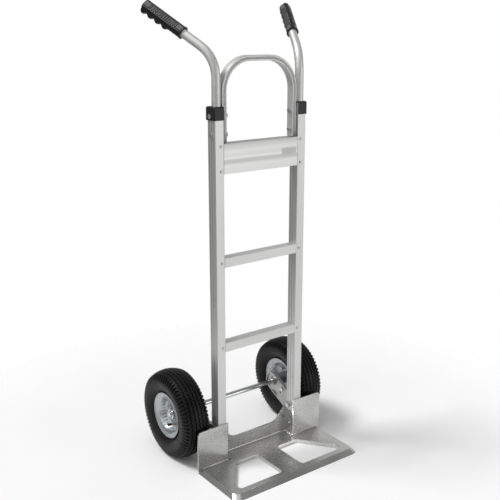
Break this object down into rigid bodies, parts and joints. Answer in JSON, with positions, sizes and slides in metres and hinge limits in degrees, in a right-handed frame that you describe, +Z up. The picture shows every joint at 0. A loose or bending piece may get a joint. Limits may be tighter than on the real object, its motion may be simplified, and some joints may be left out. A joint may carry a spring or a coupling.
{
  "type": "hand truck",
  "caption": "Upright aluminium hand truck with hollow rails, loop and side handles, nose plate with recessed heel, and air tyres on a fixed axle.",
  "frame": {"origin": "on the floor, at the centre of the overall footprint, midway between the rails", "axes": "+Z up, +X across to the right-hand wheel along the axle, -Y towards the load side and the toe plate"},
  "size_m": [0.5196, 0.46, 1.3124],
  "materials": {
    "satin_aluminium": "satin extruded",
    "brushed_aluminium": "brushed along its length",
    "cast_aluminium": "polished cast",
    "rivet_aluminium": "satin",
    "label_film": "plain light film",
    "zinc_steel": "bright zinc plate",
    "zinc_rim": "blue zinc plate, pressed sheet",
    "bearing_steel": "ground",
    "black_plastic": "moulded",
    "black_grip": "moulded soft vinyl",
    "tyre_rubber": "moulded rubber",
    "tube_rubber": "butyl rubber",
    "valve_brass": "dull"
  },
  "bodies": {
    "frame": {"axle": "zinc_steel", "axle_washers": "zinc_steel", "bracket_bolts": "zinc_steel", "bracket_nuts": "zinc_steel", "cotter_pins": "zinc_steel", "crossbar_rivets": "rivet_aluminium", "handle_bolts": "zinc_steel", "handle_nuts": "zinc_steel", "left_grip": "black_grip", "left_handle_tube": "satin_aluminium", "left_inner_races": "bearing_steel", "left_rail": "satin_aluminium", "left_rail_cap": "black_plastic", "left_wheel_bracket": "cast_aluminium", "loop_handle": "satin_aluminium", "lower_crossbar": "satin_aluminium", "nose_bolts": "zinc_steel", "nose_nuts": "zinc_steel", "nose_plate": "cast_aluminium", "panel_label": "label_film", "panel_rivets": "rivet_aluminium", "right_grip": "black_grip", "right_handle_tube": "satin_aluminium", "right_inner_races": "bearing_steel", "right_rail": "satin_aluminium", "right_rail_cap": "black_plastic", "right_wheel_bracket": "cast_aluminium", "upper_crossbar": "satin_aluminium", "upper_panel": "brushed_aluminium"},
    "left_wheel": {"left_tyre": "tyre_rubber", "left_inner_tube": "tube_rubber", "left_rim_outer": "zinc_rim", "left_rim_inner": "zinc_rim", "left_hub": "zinc_rim", "left_outer_races": "bearing_steel", "left_hub_seals": "black_plastic", "left_rim_bolts": "zinc_steel", "left_rim_nuts": "zinc_steel", "left_valve_stem": "valve_brass", "left_valve_cap": "black_plastic", "left_balls": "bearing_steel", "left_ball_cages": "bearing_steel"},
    "right_wheel": {"right_tyre": "tyre_rubber", "right_inner_tube": "tube_rubber", "right_rim_outer": "zinc_rim", "right_rim_inner": "zinc_rim", "right_hub": "zinc_rim", "right_outer_races": "bearing_steel", "right_hub_seals": "black_plastic", "right_rim_bolts": "zinc_steel", "right_rim_nuts": "zinc_steel", "right_valve_stem": "valve_brass", "right_valve_cap": "black_plastic", "right_balls": "bearing_steel", "right_ball_cages": "bearing_steel"}
  },
  "joints": [
    {"name": "left_wheel_spin", "type": "hinge", "parent": "frame", "child": "left_wheel", "pos_m": [-0.2141, 0.09663, 0.13335], "axis": [1, 0, 0], "continuous": true},
    {"name": "right_wheel_spin", "type": "hinge", "parent": "frame", "child": "right_wheel", "pos_m": [0.2141, 0.09663, 0.13335], "axis": [1, 0, 0], "continuous": true}
  ]
}
